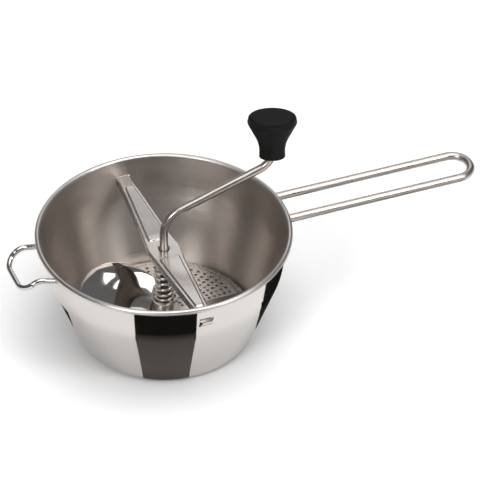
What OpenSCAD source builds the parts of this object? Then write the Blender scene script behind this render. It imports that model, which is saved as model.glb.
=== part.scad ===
// Rotary food mill: a conical bowl with a rod handle and a wire helper loop, a crossbar
// hooked into the wall, and a sprung crank that drives a helical blade over a sieve disc.
// The origin is on the bowl's axis at the table, +X runs along the long handle,
// the crossbar lies along Y and +Z is up.  All sizes are in millimetres.

/* [Bowl] */
// Outside diameter over the rolled rim
rim_d = 200; // [170:1:250]
// Height of the top of the rim above the table
bowl_h = 94.2; // [80:0.2:125]
// Thickness of the bowl's sheet
wall_t = 0.8; // [0.6:0.1:1.2]
// Radius of the rolled rim
bead_r = 2.2; // [1.8:0.1:3]
// Height of the soft break between the steep upper wall and the cone
break_z = 62; // [50:1:70]
// Lean of the upper wall from the vertical, in degrees
upper_lean = 7.9; // [4:0.1:12]
// Lean of the lower cone from the vertical, in degrees
lower_lean = 20.4; // [15:0.1:24]
// Inside radius of the foot's corner
foot_r = 8.2; // [6:0.1:10]
// Width of the flat foot ring round the outlet
foot_flat = 5; // [4:0.5:9]

/* [Handles] */
// Reach of the long handle beyond the rim
handle_reach = 159.2; // [110:0.1:220]
// Spacing of the long handle's two legs, centre to centre
handle_gap = 29; // [24:0.5:36]
// Diameter of the long handle's rod
handle_rod = 6.5; // [5:0.1:8]
// Reach of the helper loop beyond the rim
helper_reach = 27.8; // [15:0.1:60]
// Spacing of the helper loop's legs at the wall
helper_gap = 46; // [36:1:54]
// Diameter of the helper loop's wire
helper_rod = 4.5; // [3.5:0.1:5.5]
// Depth of both handles' rods below the middle of the rim
handle_drop = 2.6; // [2:0.1:4]

/* [Crossbar] */
// Depth of the crossbar's top face below the middle of the rim
bar_drop = 15; // [12:0.5:20]
// Rise of the crossbar from its middle to the wall
bar_rise = 4; // [2:0.5:6]
// Thickness of the crossbar's sheet
bar_t = 1.2; // [1:0.1:1.6]
// Half width of the crossbar in the middle
bar_mid = 13.2; // [11:0.1:15]
// Half width of the crossbar where its tongues start
bar_end = 5.6; // [5:0.1:7]
// Depth of the crossbar's turned-down edges
bar_skirt = 4.6; // [3:0.1:6]
// Height of the pressed panels
panel_h = 0.9; // [0.6:0.1:1.5]
// Width of the slots in the bowl's wall
slot_w = 11.4; // [10.6:0.1:13]

/* [Crank] */
// Diameter of the crank's rod
crank_rod_d = 6.5; // [6:0.1:8]
// Throw of the crank, from the shaft to the knob's stem
crank_throw = 90; // [75:1:110]
// Height of the shaft's bend above the middle of the rim
crank_rise = 14.2; // [10:0.1:22]
// Climb of the crank's arm from the shaft to the stem
arm_climb = 30.2; // [20:0.2:40]
// Radius of the lower bend
crank_bend = 20; // [16:1:24]
// Radius of the bend under the knob
stem_bend = 15; // [12:1:17]
// How far the blade and crank lift against the spring
lift = 6; // [4:0.5:8]

/* [Knob] */
// Height of the knob
knob_h = 40; // [36:0.5:48]
// Half width of the knob's flared top
knob_top = 20; // [18:0.5:24]
// Half width of the knob's neck
knob_neck = 10.2; // [9.8:0.1:12]
// Depth of the knob's oval outline as a share of its width
knob_oval = 0.62; // [0.6:0.01:1]

/* [Blade and spring] */
// Height of the blade's raised leading edge above the sieve
blade_lift = 21; // [16:0.5:26]
// Thickness of the blade
blade_t = 1.2; // [0.8:0.1:1.6]
// Radius of the blade's hub
hub_r = 8; // [7:0.1:9]
// Height of the blade's hub
hub_h = 12.6; // [11:0.2:16]
// Diameter of the spring's wire
spring_wire = 2.3; // [1.8:0.1:2.4]
// Outside radius of the spring
spring_r = 7.8; // [7.4:0.1:8.6]
// Number of open turns in the spring
spring_turns = 7; // [5:1:8]

/* [Sieve] */
// Thickness of the sieve's sheet
sieve_t = 0.8; // [0.6:0.1:1]
// Height of the sieve's flat field above the table
sieve_z = 13; // [12:0.1:15]
// Gap between the sieve's skirt and the bowl
sieve_gap = 0.3; // [0.2:0.05:0.5]
// Diameter of the sieve's holes
hole_d = 2.5; // [1.5:0.1:3]
// Number of holes in each ring
holes_per_ring = 60; // [36:2:70]
// Spacing of the rings
ring_step = 4.5; // [3.8:0.1:6]

/* [Fits] */
// Radial clearance of a shaft that turns in a hole
turn_fit = 0.07; // [0.05:0.01:0.1]
// Radial clearance of pieces that are pressed or welded together
weld_fit = 0.02; // [0.01:0.01:0.05]
// Gap between pieces that pass each other
pass_gap = 0.3; // [0.25:0.05:0.5]

/* [Hidden] */
$fn = 96;

// Bends
bend_thinning = 0.02;
bend_lap = 0.4;

// Bowl
rim_z = bowl_h - bead_r;
bead_c = rim_d / 2 - bead_r;
top_in = rim_d / 2 - 2 * bead_r;
break_in = top_in - (rim_z - break_z) * tan(upper_lean);
foot_in = break_in - (break_z - wall_t) * tan(lower_lean);
corner_run = foot_r * tan((90 - lower_lean) / 2);
flat_in = foot_in - corner_run;
outlet_r = flat_in - foot_flat;
curl_end = -110;
break_bend = 30;

// Crossbar and its slots
bar_z = rim_z - bar_drop;
bar_flat = 17;
tongue_run = 6;
tongue_hw = slot_w / 2 - pass_gap - 0.2;
tongue_z = bar_z + bar_rise;
slot_top = tongue_z + pass_gap;
slot_h = 4;
hood_h = 6;
hood_out = 2.2;
bar_reach = wall_out(tongue_z) - 0.1;
bar_neck = wall_in(tongue_z) - tongue_run;
panel_edge = 3;
panel_start = bar_flat;
panel_stop = bar_neck - 3;

// Drive line, from the sieve upwards
shaft_r = crank_rod_d / 2;
blade_z = sieve_z + pass_gap;
hub_top = blade_z + hub_h;
seat_z = hub_top + pass_gap;
seat_t = 1;
seat_r = 9.8;
seat_lip = 2;
spring_z = seat_z + seat_t + pass_gap;
washer_t = 1;
washer_z = bar_z - bar_t - washer_t - 0.1;
spring_top = washer_z - pass_gap;
collar_r = shaft_r + 1.1;
collar_h = 4.5;
pin_d = 3;
pin_z = blade_z + hub_h / 2;
shaft_tip = 3;
elbow_z = rim_z + crank_rise;
stem_z = elbow_z + arm_climb;

// Knob
stem_turn = 90 - atan(arm_climb / crank_throw);
knob_z = stem_z + 5.9;
mouth_h = stem_z + stem_bend * tan(stem_turn / 2) - knob_z + 1;
mouth_r = shaft_r + 1.35;
pocket_z = knob_z + knob_h * 0.62;
pocket_r = 6.9;
nut_r = 6.2;
nut_t = 0.8;
stem_top = pocket_z + pass_gap + nut_t + 1.5;
cap_z = knob_z + knob_h - 3.2;

// Blade
blade_r = flat_in + 3.9;
blade_start = 105;
blade_end = 360;
blade_inner_lift = 9;
blade_steps = 42;
blade_rings = 7;

// Sieve
sieve_rim_r = foot_in + 0.2;
sieve_seat = wall_t + foot_r - sqrt(pow(foot_r, 2) - pow(sieve_rim_r + sieve_gap - flat_in, 2));
sieve_rim_z = sieve_z - 3.4;
field_r = sieve_rim_r - 7;
ring_count = floor((field_r - 5 - 15) / ring_step) + 1;

steel = [0.80, 0.79, 0.77];
polished = [0.88, 0.88, 0.88];
black = [0.09, 0.09, 0.08];

// Radius of the bowl's inner face at height z
function wall_in(z) = z > break_z
    ? top_in - (rim_z - z) * tan(upper_lean)
    : break_in - (break_z - z) * tan(lower_lean);

// Radius of the bowl's outer face at height z
function wall_out(z) = wall_in(z) + wall_t / cos(z > break_z ? upper_lean : lower_lean);

function unit(v) = v / norm(v);

// Points of an arc about c, from angle a0 to a1
function arc(c, r, a0, a1, n) = [for (i = [0:n]) let (a = a0 + (a1 - a0) * i / n) c + r * [cos(a), sin(a)]];

// Points of the bend of radius r that replaces corner p between a and b
function corner(a, p, b, r, n) =
    let (u = unit(a - p), w = unit(b - p), half = acos(u * w) / 2,
         c = p + unit(u + w) * r / sin(half),
         s = p + u * r / tan(half) - c, e = p + w * r / tan(half) - c,
         a0 = atan2(s.y, s.x), turn = sign(cross(s, e)) * (180 - 2 * half))
    arc(c, r, a0, a0 + turn, n);

// A polyline with its inner corners rounded
function soft(p, r, n = 6) = [
    p[0],
    for (i = [1:len(p) - 2]) each (r[i] > 0 ? corner(p[i - 1], p[i], p[i + 1], r[i], n) : [p[i]]),
    p[len(p) - 1]];

// A polyline moved sideways by d, to the right of its direction
function side(p, i) = let (v = unit(p[i + 1] - p[i])) [v.y, -v.x];
function shifted(p, d) = [
    for (i = [0:len(p) - 1])
        let (a = side(p, max(i - 1, 0)), b = side(p, min(i, len(p) - 2)), m = unit(a + b))
        p[i] + m * d / (m * a)];
function flipped(p) = [for (i = [len(p) - 1:-1:0]) p[i]];

// The closed outline of a sheet of thickness t to the right of a polyline
function sheet(p, t) = concat(p, flipped(shifted(p, t)));

// A rod of diameter d along the points, with a bend of radius r[i] at each inner point.
// Each bend is a hair thinner than the rod and runs a little way into its neighbours.
module bent_rod(p, r, d) {
    n = len(p);
    half = [for (i = [1:n - 2]) acos(unit(p[i - 1] - p[i]) * unit(p[i + 1] - p[i])) / 2];
    run = [0, for (i = [1:n - 2]) r[i - 1] / tan(half[i - 1]), 0];
    for (i = [0:n - 2]) {
        v = unit(p[i + 1] - p[i]);
        from = p[i] + v * run[i];
        length = norm(p[i + 1] - p[i]) - run[i] - run[i + 1];
        translate(from) rotate([0, acos(v.z), atan2(v.y, v.x)]) cylinder(h = length, d = d);
    }
    for (i = [1:n - 2]) {
        u = unit(p[i - 1] - p[i]);
        w = unit(p[i + 1] - p[i]);
        h = half[i - 1];
        c = p[i] + unit(u + w) * r[i - 1] / sin(h);
        ex = unit(p[i] + u * run[i] - c);
        ez = unit(cross(ex, p[i] + w * run[i] - c));
        ey = cross(ez, ex);
        lap = bend_lap / r[i - 1] * 180 / PI;
        multmatrix([[ex.x, ey.x, ez.x, c.x], [ex.y, ey.y, ez.y, c.y], [ex.z, ey.z, ez.z, c.z], [0, 0, 0, 1]])
            rotate(-lap) rotate_extrude(angle = 180 - 2 * h + 2 * lap)
                translate([r[i - 1], 0]) circle(d = d - 2 * bend_thinning);
    }
}

// What the bowl fills, grown by a gap, used to shape the ends welded to it
module bowl_envelope(gap) {
    rotate_extrude() {
        polygon([[0, 20], [wall_out(20) + gap, 20], [wall_out(break_z) + gap, break_z],
                 [wall_out(rim_z) + gap, rim_z], [wall_out(rim_z) + gap, bowl_h + handle_rod],
                 [0, bowl_h + handle_rod]]);
        translate([bead_c, rim_z]) circle(r = bead_r + gap);
    }
}

// Bowl: foot ring, cone, soft break and rolled rim in one sheet
function bowl_path() = concat(
    soft([[outlet_r, wall_t], [foot_in, wall_t], [break_in, break_z], [top_in, rim_z - 0.5]],
         [0, foot_r, break_bend, 0]),
    arc([bead_c, rim_z], bead_r, 180, curl_end, 18));

module hood_wedge(w, grow) {
    z0 = slot_top - slot_h - hood_h;
    z1 = slot_top - slot_h + 0.8;
    translate([-w / 2, 0, 0]) rotate([90, 0, 90]) linear_extrude(w)
        polygon([[-wall_in(z0) - 0.1, z0 - grow], [-wall_out(z1) - hood_out - grow, z1 - 1.2],
                 [-wall_out(z1) - hood_out - grow, z1 + (grow > 0 ? 0 : 1)],
                 [-wall_in(z1) - 0.1, z1 + (grow > 0 ? 0 : 1)]]);
}

module bowl() color(polished) {
    difference() {
        union() {
            rotate_extrude() polygon(sheet(bowl_path(), wall_t));
            for (a = [0, 180]) rotate(a) hood_wedge(slot_w + 2 * wall_t, wall_t);
        }
        for (a = [0, 180]) rotate(a) {
            hood_wedge(slot_w, 0);
            translate([-slot_w / 2, -rim_d / 2 + 1, slot_top - slot_h]) cube([slot_w, 12, slot_h]);
        }
    }
}

// Long handle: one rod bent back on itself
module long_handle() color(steel) difference() {
    z = rim_z - handle_drop;
    far = rim_d / 2 + handle_reach - handle_rod / 2;
    near = wall_in(z) - 4;
    y = handle_gap / 2;
    bend = y - 1;
    bent_rod([[near, -y, z], [far, -y, z], [far, y, z], [near, y, z]], [bend, bend], handle_rod);
    bowl_envelope(weld_fit);
}

// Helper loop: legs that rise from the wall, then dip to the grip
module helper_handle() color(polished) difference() {
    z = rim_z - handle_drop;
    near = wall_in(z) - 4;
    far = rim_d / 2 + helper_reach - helper_rod / 2;
    knee = far - 12.5;
    y = helper_gap / 2;
    side_points = [[-near, y, z - 0.8], [-knee, y - 2.5, z + 3.4], [-far, y - 4, z - 4.6]];
    path = concat([for (p = side_points) [p.x, -p.y, p.z]], flipped(side_points));
    bent_rod(path, [8, 8.5, 8.5, 8], helper_rod);
    bowl_envelope(weld_fit);
}

// Crossbar
function bar_edge(inset) = soft(
    [[tongue_hw - inset, -bar_reach], [tongue_hw - inset, -bar_neck - 1.2], [bar_end - inset, -bar_neck],
     [bar_mid - 2 - inset, -bar_flat - 1], [bar_mid - inset, 0], [bar_mid - 2 - inset, bar_flat + 1],
     [bar_end - inset, bar_neck], [tongue_hw - inset, bar_neck + 1.2], [tongue_hw - inset, bar_reach]],
    [0, 0, 1, 12, 10, 12, 1, 0, 0], 4);
function bar_plan(inset) = concat(bar_edge(inset), [for (p = flipped(bar_edge(inset))) [-p.x, p.y]]);

// The crossbar's side view between two depths below its top face
module bar_side(top, bottom) {
    line = soft([[-rim_d / 2, bar_z + bar_rise * (rim_d / 2 - bar_flat) / (bar_reach - bar_flat)],
                 [-bar_flat, bar_z], [bar_flat, bar_z],
                 [rim_d / 2, bar_z + bar_rise * (rim_d / 2 - bar_flat) / (bar_reach - bar_flat)]],
                [0, 40, 40, 0], 4);
    translate([-20, 0, 0]) rotate([90, 0, 90]) linear_extrude(40)
        polygon(concat([for (p = line) p + [0, top]], [for (p = flipped(line)) p + [0, bottom]]));
}

module panel_plan(inset) {
    w0 = bar_mid - panel_edge - 2.6 - inset;
    w1 = bar_end - panel_edge + 1 - inset;
    for (s = [-1, 1]) {
        edge = soft([[0, panel_start + inset], [w0, panel_start + inset], [w1, panel_stop - inset],
                     [0, panel_stop - inset]], [0, 3 - inset, 1.2, 0], 4);
        polygon([for (p = concat(edge, [for (q = flipped(edge)) [-q.x, q.y]])) [p.x, p.y * s]]);
    }
}

module crossbar() color(steel) {
    difference() {
        union() {
            intersection() {
                bar_side(0, -bar_t);
                linear_extrude(rim_z) polygon(bar_plan(0));
            }
            intersection() {
                bar_side(-bar_t / 2, -bar_skirt);
                translate([-20, -bar_neck + 6, 0]) cube([40, 2 * bar_neck - 12, rim_z]);
                linear_extrude(rim_z) difference() {
                    polygon(bar_plan(0));
                    polygon(bar_plan(bar_t));
                }
            }
            intersection() {
                bar_side(panel_h, -bar_t / 2);
                linear_extrude(rim_z) panel_plan(0);
            }
            translate([0, 0, bar_z - collar_h]) cylinder(h = collar_h - bar_t / 2, r = collar_r);
        }
        intersection() {
            bar_side(panel_h - bar_t, -bar_t - 1);
            linear_extrude(rim_z) panel_plan(bar_t);
        }
        translate([0, 0, bar_z - collar_h - 1]) cylinder(h = collar_h + 2, r = shaft_r + turn_fit);
        translate([0, 0, bar_z - 1.2]) cylinder(h = 1.3, r1 = shaft_r + turn_fit, r2 = shaft_r + 1.2);
    }
}

module spring_top_washer() color(steel) difference() {
    translate([0, 0, washer_z]) cylinder(h = washer_t, r = spring_r + 1);
    translate([0, 0, washer_z - 1]) cylinder(h = washer_t + 2, r = collar_r + weld_fit);
}

// Spring: a closed turn at each end and open turns between them
function spring_height(k, turns) =
    let (closed = spring_wire * 1.06, open = (spring_top - spring_z - spring_wire - 2 * closed) / (turns - 2))
    spring_z + spring_wire / 2
        + (k < 1 ? closed * k : k > turns - 1 ? closed + open * (turns - 2) + closed * (k - turns + 1)
           : closed + open * (k - 1));

module pressure_spring() color(polished) {
    turns = spring_turns + 2;
    steps = 18;
    sides = 10;
    rings = turns * steps;
    mean = spring_r - spring_wire / 2;
    points = [for (i = [0:rings], j = [0:sides - 1])
        let (a = 360 * i / steps, b = 360 * j / sides, r = mean + spring_wire / 2 * cos(b))
        [r * cos(a), r * sin(a), spring_height(i / steps, turns) + spring_wire / 2 * sin(b)]];
    tube = [for (i = [0:rings - 1], j = [0:sides - 1])
        let (k = (j + 1) % sides)
        [i * sides + j, i * sides + k, (i + 1) * sides + k, (i + 1) * sides + j]];
    ends = [[for (j = [sides - 1:-1:0]) j], [for (j = [0:sides - 1]) rings * sides + j]];
    polyhedron(points, concat([for (f = tube) flipped(f)], [for (f = ends) flipped(f)]), convexity = 12);
}

// Cupped washer that carries the spring on the hub
module spring_seat() color(steel) rotate_extrude() polygon(sheet(
    soft([[seat_r, seat_z + seat_t + seat_lip], [seat_r, seat_z], [shaft_r + turn_fit, seat_z]], [0, 1.4, 0]),
    seat_t));

module crank_rod() color(steel) difference() {
    bent_rod([[0, 0, shaft_tip], [0, 0, elbow_z], [crank_throw, 0, stem_z], [crank_throw, 0, stem_top]],
             [crank_bend, stem_bend], crank_rod_d);
    translate([0, 0, pin_z]) rotate([90, 0, 0]) cylinder(h = 2 * shaft_r + 2, d = pin_d + 2 * weld_fit, center = true);
}

module blade_hub() color(steel) difference() {
    translate([0, 0, blade_z]) cylinder(h = hub_h, r = hub_r);
    translate([0, 0, blade_z - 1]) cylinder(h = hub_h + 2, r = shaft_r + weld_fit);
    translate([0, 0, pin_z]) rotate([90, 0, 0]) cylinder(h = 2 * hub_r + 2, d = pin_d + 2 * weld_fit, center = true);
}

module drive_pin() color(steel)
    translate([0, 0, pin_z]) rotate([90, 0, 0]) cylinder(h = 2 * hub_r - 1, d = pin_d, center = true);

// Blade: a ring sector that climbs from the sieve to a raised leading edge
function blade_reach(a) =
    let (k = min((a - blade_start) / 48, 1)) blade_r - 22 * pow(1 - k, 2.4);
function blade_height(r, a) =
    let (k = (blade_end - a) / (blade_end - blade_start), out = (r - hub_r) / (blade_r - hub_r))
    blade_z + k * (blade_inner_lift + (blade_lift - blade_inner_lift) * sin(90 * min(out, 1)));

module pressing_blade() color(polished) {
    r0 = hub_r + 0.1;
    row = blade_rings + 1;
    layer = row * (blade_steps + 1);
    points = [for (top = [0, 1], i = [0:blade_steps], j = [0:blade_rings])
        let (a = blade_start + (blade_end - blade_start) * i / blade_steps,
             r = r0 + (blade_reach(a) - r0) * j / blade_rings)
        [r * cos(a), r * sin(a), blade_height(r, a) + top * blade_t]];
    faces = concat(
        [for (i = [0:blade_steps - 1], j = [0:blade_rings - 1], top = [0, 1])
            let (k = top * layer + i * row + j, q = [k, k + 1, k + row + 1, k + row]) top == 1 ? flipped(q) : q],
        [for (i = [0:blade_steps - 1])
            let (k = i * row) [k, k + row, layer + k + row, layer + k]],
        [for (i = [0:blade_steps - 1])
            let (k = i * row + blade_rings) [k, layer + k, layer + k + row, k + row]],
        [for (j = [0:blade_rings - 1]) [j, layer + j, layer + j + 1, j + 1]],
        [for (j = [0:blade_rings - 1])
            let (k = blade_steps * row + j) [k, k + 1, layer + k + 1, layer + k]]);
    polyhedron(points, faces, convexity = 6);
}

// Sieve: a shallow pan turned over, its skirt standing in the bowl's corner
module sieve_field() linear_extrude(sieve_t) difference() {
    circle(r = field_r - 3);
    circle(r = shaft_r + turn_fit);
    for (k = [0:ring_count - 1], i = [0:holes_per_ring - 1])
        let (r = field_r - 5 - k * ring_step, skip = r * 2 * PI / holes_per_ring < hole_d + 0.8 ? 2 : 1)
        if (i % skip == 0) rotate(360 * i / holes_per_ring) translate([r, 0]) circle(d = hole_d, $fn = 16);
}

module sieve_disc() color(steel) {
    rim = soft([[field_r - 3.5, sieve_z], [field_r, sieve_z], [sieve_rim_r - 3.5, sieve_rim_z],
                [sieve_rim_r, sieve_rim_z], [sieve_rim_r, sieve_seat]], [0, 3, 1.5, 1.3, 0]);
    rotate_extrude() polygon(sheet(rim, sieve_t));
    translate([0, 0, sieve_z - sieve_t]) sieve_field();
}

// Knob: an oval flare, split into a body and a cap
module knob_form() {
    h = knob_h;
    outline = soft([[0, 0], [knob_neck, 0], [knob_neck - 0.5, h * 0.3], [knob_top - 0.4, h * 0.83],
                    [knob_top - 1.5, h - 0.8], [0, h]], [0, 0, 34, 4.5, 2.5, 0], 5);
    translate([crank_throw, 0, knob_z]) resize([2 * knob_top, 2 * knob_top * knob_oval, h])
        rotate_extrude($fn = 48) polygon(outline);
}

module knob_body() color(black) difference() {
    knob_form();
    translate([crank_throw - knob_top, -knob_top, cap_z]) cube(2 * knob_top);
    translate([crank_throw, 0, knob_z - 1]) cylinder(h = knob_h, r = shaft_r + turn_fit);
    translate([crank_throw, 0, knob_z - 1]) cylinder(h = mouth_h + 1, r = mouth_r);
    translate([crank_throw, 0, pocket_z]) cylinder(h = knob_h, r = pocket_r);
}

module knob_cap() color(black) intersection() {
    knob_form();
    translate([crank_throw - knob_top, -knob_top, cap_z]) cube(2 * knob_top);
}

module push_nut() color(steel) difference() {
    translate([crank_throw, 0, pocket_z + pass_gap]) cylinder(h = nut_t, r = nut_r);
    translate([crank_throw, 0, pocket_z]) cylinder(h = 3, r = shaft_r + weld_fit);
}

bowl();
long_handle();
helper_handle();
crossbar();
spring_top_washer();
pressure_spring();
spring_seat();
crank_rod();
blade_hub();
drive_pin();
pressing_blade();
sieve_disc();
knob_body();
knob_cap();
push_nut();
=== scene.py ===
"""Rotary food mill: finished surfaces, steel and plastic finishes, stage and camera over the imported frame.

Lengths inside the shape functions are in millimetres; put() turns them into metres.
"""
import math

import bmesh
import bpy
import numpy as np
from mathutils import Matrix, Vector


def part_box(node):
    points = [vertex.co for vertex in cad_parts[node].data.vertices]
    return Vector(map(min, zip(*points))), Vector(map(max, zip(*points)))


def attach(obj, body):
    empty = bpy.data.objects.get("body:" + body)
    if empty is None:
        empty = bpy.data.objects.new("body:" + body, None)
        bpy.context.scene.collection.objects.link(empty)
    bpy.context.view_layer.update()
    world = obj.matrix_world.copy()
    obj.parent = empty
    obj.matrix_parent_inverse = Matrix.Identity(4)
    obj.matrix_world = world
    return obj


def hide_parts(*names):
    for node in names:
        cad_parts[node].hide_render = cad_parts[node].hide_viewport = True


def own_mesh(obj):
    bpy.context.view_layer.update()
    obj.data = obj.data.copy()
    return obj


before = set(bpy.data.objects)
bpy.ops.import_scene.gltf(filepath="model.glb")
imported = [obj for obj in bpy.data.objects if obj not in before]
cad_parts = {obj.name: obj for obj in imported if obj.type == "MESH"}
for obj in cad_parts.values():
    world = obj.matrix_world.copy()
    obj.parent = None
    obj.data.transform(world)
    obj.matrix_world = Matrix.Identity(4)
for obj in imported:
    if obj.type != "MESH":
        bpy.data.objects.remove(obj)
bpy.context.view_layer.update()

bl_info = {
    "name": "Rotary Food Mill",
    "version": (1, 0, 0),
    "blender": (4, 5, 0),
    "location": "3D View > Sidebar > Food Mill",
    "description": "Builds the finished surfaces of a rotary food mill and its studio",
    "category": "Add Mesh",
}

MM = 0.001
# How far the crank, hub and blade rise against the spring, in millimetres.
LIFT = 6.0
# The boxes of the imported model's pieces, in millimetres.
BOWL_BOX = np.array(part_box("bowl")) / MM
BAR_BOX = np.array(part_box("crossbar")) / MM
CRANK_BOX = np.array(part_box("crank_rod")) / MM
KNOB_BOX = np.array([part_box("knob_body")[0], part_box("knob_cap")[1]]) / MM
HANDLE_BOX = np.array(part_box("long_handle")) / MM
LOOP_BOX = np.array(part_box("helper_handle")) / MM
SPRING_BOX = np.array(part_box("pressure_spring")) / MM
WASHER_BOX = np.array(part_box("spring_top_washer")) / MM
SEAT_BOX = np.array(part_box("spring_seat")) / MM
HUB_BOX = np.array(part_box("blade_hub")) / MM
SIEVE_BOX = np.array(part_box("sieve_disc")) / MM


# ---------------------------------------------------------------- sizes and colours


def length(name, words, mm):
    """A length property whose default is given in millimetres."""
    return bpy.props.FloatProperty(name=name, description=words, default=mm * MM, unit="LENGTH", precision=5)


def share(name, words, value):
    """A plain number between nothing and one."""
    return bpy.props.FloatProperty(name=name, description=words, default=value, min=0.0, max=1.0)


def colour(name, words, rgb):
    """A colour property."""
    return bpy.props.FloatVectorProperty(
        name=name, description=words, default=rgb, subtype="COLOR", size=3, min=0, max=1)


class MillSizes(bpy.types.PropertyGroup):
    """Sizes of the mill's surfaces."""

    sheet: length("Bowl sheet", "Thickness of the bowl's sheet", 0.8)
    bead: length("Rim bead", "Radius of the rolled rim", 2.2)
    break_height: length("Soft break", "Height of the break between the steep wall and the cone", 62.0)
    foot_radius: length("Foot corner", "Inside radius of the foot's corner", 8.2)
    foot_flat: length("Foot ring", "Width of the flat foot ring", 5.0)
    slot_width: length("Slot width", "Width of the crossbar's slots in the wall", 11.4)
    hood: length("Slot hood", "How far the hood under each slot stands out", 2.2)
    handle_rod: length("Handle rod", "Diameter of the long handle's rod", HANDLE_BOX[1, 2] - HANDLE_BOX[0, 2])
    handle_bend: length("Handle bend", "Radius of the long handle's bends", 13.5)
    loop_wire: length("Helper wire", "Diameter of the helper loop's wire", 4.5)
    bar_edge: length("Bar edge", "Radius of the crossbar's turned-down edges", 1.6)
    bar_sheet: length("Bar sheet", "Thickness of the crossbar's sheet", 1.2)
    panel: length("Bar panels", "Height of the crossbar's pressed panels", 0.9)
    spring_wire: length("Spring wire", "Diameter of the spring's wire", 2.3)
    crank_rod: length("Crank rod", "Diameter of the crank's rod", CRANK_BOX[1, 1] - CRANK_BOX[0, 1])
    blade_sheet: length("Blade sheet", "Thickness of the pressing blade", 1.2)
    blade_lift: length("Blade lift", "Height of the blade's raised edge above its low edge", 21.0)
    hole: length("Sieve hole", "Diameter of the sieve's holes", 2.5)
    ring_step: length("Sieve rings", "Spacing of the sieve's rings of holes", 4.5)
    knob_seam: length("Knob seam", "Depth of the line between the knob and its cap", 0.25)


class MillColours(bpy.types.PropertyGroup):
    """Colours and gloss of the mill's finishes."""

    mirror: colour("Mirror steel", "Colour of the polished bowl, helper loop and blade", (0.61, 0.58, 0.555))
    satin: colour("Satin steel", "Colour of the rods and the bowl's inside", (0.53, 0.485, 0.45))
    # Painted shade: the shaft colour is dark to stand for the shade inside the spring, round the shaft below
    # the crossbar.
    shaft: colour("Shaft steel", "Colour of the shaded shaft below the crossbar", (0.12, 0.105, 0.095))
    pressed: colour("Pressed steel", "Colour of the crossbar and the sieve", (0.60, 0.56, 0.53))
    plastic: colour("Black plastic", "Colour of the knob", (0.0035, 0.0033, 0.0032))
    floor: colour("Floor", "Colour of the floor", (0.90, 0.90, 0.90))
    brushed: share("Brushing", "Roughness of the bowl's brushed inside", 0.36)
    polish: share("Polish", "Roughness of the mirror steel", 0.05)


def sizes():
    """The mill's sizes, in metres."""
    return bpy.context.scene.mill_sizes


def colours():
    """The mill's colours and gloss."""
    return bpy.context.scene.mill_colours


# ---------------------------------------------------------------- shapes

# Radii, in the flow attribute, of the circles round which its lines run on turned pieces and on rods.
FLOW_RADIUS, ROD_FLOW_RADIUS = 30, 3


def unit(v):
    """Vectors scaled to length one along their last axis."""
    return v / np.linalg.norm(v, axis=-1, keepdims=True)


def smooth(t):
    """The step 3t^2 - 2t^3 of t held between 0 and 1."""
    t = np.clip(t, 0, 1)
    return t * t * (3 - 2 * t)


def turns(n, start=0.0, sweep=2 * math.pi):
    """n equal angles from start round one sweep, the last point left out."""
    return start + sweep * np.arange(n) / n


def rounded(points, radii, steps=8):
    """A polyline whose inner corners are arcs: between the tangent points s and e seen from the arc's
    centre, the arc is (s sin((1-t)w) + e sin(tw)) / sin(w), with w the angle that it turns."""
    p = np.asarray(points, float)
    out = [p[:1]]
    for a, q, b, r in zip(p, p[1:], p[2:], radii):
        u, w = unit(a - q), unit(b - q)
        half = 0.5 * math.acos(float(np.clip(u @ w, -1, 1)))
        if r <= 0 or half > 1.5:
            out.append(q[None])
            continue
        c = q + unit(u + w) * r / math.sin(half)
        s, e = q + u * r / math.tan(half) - c, q + w * r / math.tan(half) - c
        sweep = math.pi - 2 * half
        t = np.linspace(0, 1, steps + 1)[:, None]
        out.append(c + (np.sin((1 - t) * sweep) * s + np.sin(t * sweep) * e) / math.sin(sweep))
    out.append(p[-1:])
    return np.concatenate(out)


def arc(centre, radius, start, stop, steps):
    """Points centre + radius (cos a, sin a) for a from start to stop degrees."""
    a = np.radians(np.linspace(start, stop, steps + 1))
    return np.asarray(centre) + radius * np.stack([np.cos(a), np.sin(a)], -1)


def offset(line, d):
    """A plane polyline moved d to the right of its direction, along the mitre of each corner."""
    seg = unit(np.diff(line, axis=0))
    side = np.stack([seg[:, 1], -seg[:, 0]], -1)
    a = np.concatenate([side[:1], side])
    b = np.concatenate([side, side[-1:]])
    m = unit(a + b)
    return line + m * (d / np.sum(m * a, -1, keepdims=True))


def way_along(line):
    """How far along a polyline each of its points lies."""
    return np.concatenate([[0], np.cumsum(np.linalg.norm(np.diff(line, axis=0), axis=1))])


def turned(profile, u):
    """A profile (r, z) at every angle u about the axis: point = (r cos u, r sin u, z)."""
    u = u[:, None]
    r, z = profile[None, :, 0], profile[None, :, 1]
    return np.stack([r * np.cos(u), r * np.sin(u), z + 0 * u], -1)


def round_flow(u, way):
    """The flow (R cos u, R sin u, way along the profile), in which lines run round the axis."""
    u = u[:, None]
    return np.stack(np.broadcast_arrays(FLOW_RADIUS * np.cos(u), FLOW_RADIUS * np.sin(u), way[None]), -1)


def loop_round(a, b):
    """The index pairs, in order, round the part of a grid that the index lists a and b span."""
    a, b = list(a), list(b)
    pairs = [(p, b[0]) for p in a] + [(a[-1], q) for q in b[1:]]
    pairs += [(p, b[-1]) for p in a[-2::-1]] + [(a[0], q) for q in b[-2:0:-1]]
    return np.array(pairs)


def grid_faces(rows, cols, close_rows=False, close_cols=False):
    """Four-sided faces of a grid of points counted row by row."""
    i = np.arange(rows if close_rows else rows - 1)[:, None]
    j = np.arange(cols if close_cols else cols - 1)[None]
    i1, j1 = (i + 1) % rows, (j + 1) % cols
    return np.stack([i * cols + j, i1 * cols + j, i1 * cols + j1, i * cols + j1], -1).reshape(-1, 4)


def fan_faces(ring, hub):
    """Triangles from a closed ring of point numbers to one hub point."""
    return np.stack([ring, np.roll(ring, -1), np.full(len(ring), hub)], -1)


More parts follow.
